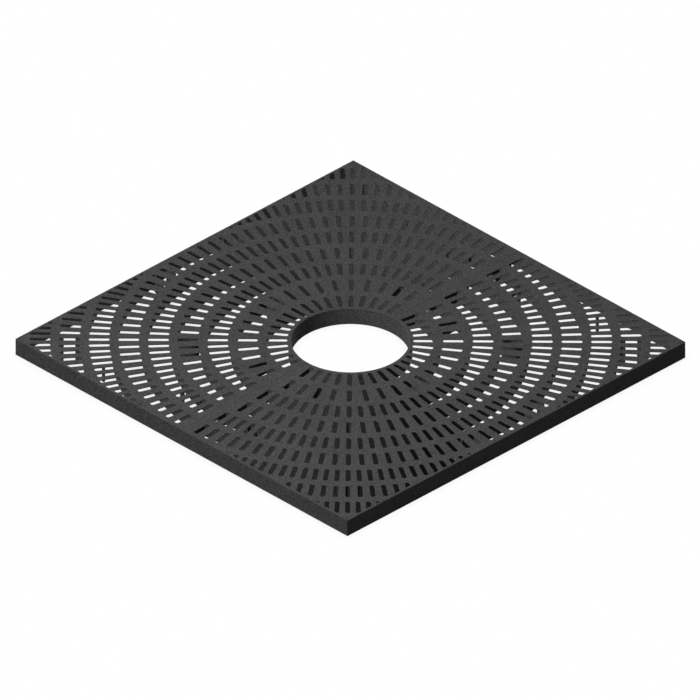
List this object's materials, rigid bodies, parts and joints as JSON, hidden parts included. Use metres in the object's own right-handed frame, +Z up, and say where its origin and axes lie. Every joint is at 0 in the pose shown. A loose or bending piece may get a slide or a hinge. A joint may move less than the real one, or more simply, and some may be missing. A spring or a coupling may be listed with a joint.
{
  "type": "plastic tree grate",
  "caption": "Square slotted plastic grate with a round trunk hole, made in bolted halves that close round a tree and lie flush with the paving.",
  "frame": {"origin": "middle of the trunk hole, on the plane that the underside rests on", "axes": "+Z up out of the paving, Y along the seam between the halves, +X from the west half to the east half"},
  "size_m": [1, 1, 0.039],
  "materials": {
    "moulded_plastic": "matte, fine grained, dark grey",
    "plated_steel": "zinc plated, dull"
  },
  "bodies": {
    "west": {"west_half": "moulded_plastic", "seam_bolt_1": "plated_steel", "seam_bolt_2": "plated_steel", "seam_bolt_3": "plated_steel", "seam_bolt_4": "plated_steel"},
    "east": {"east_half": "moulded_plastic", "seam_nut_1": "plated_steel", "seam_nut_2": "plated_steel", "seam_nut_3": "plated_steel", "seam_nut_4": "plated_steel"}
  },
  "joints": [
    {"name": "halves_part", "type": "slide", "parent": "west", "child": "east", "axis": [1, 0, 0], "range_m": [0, 0.3]}
  ]
}
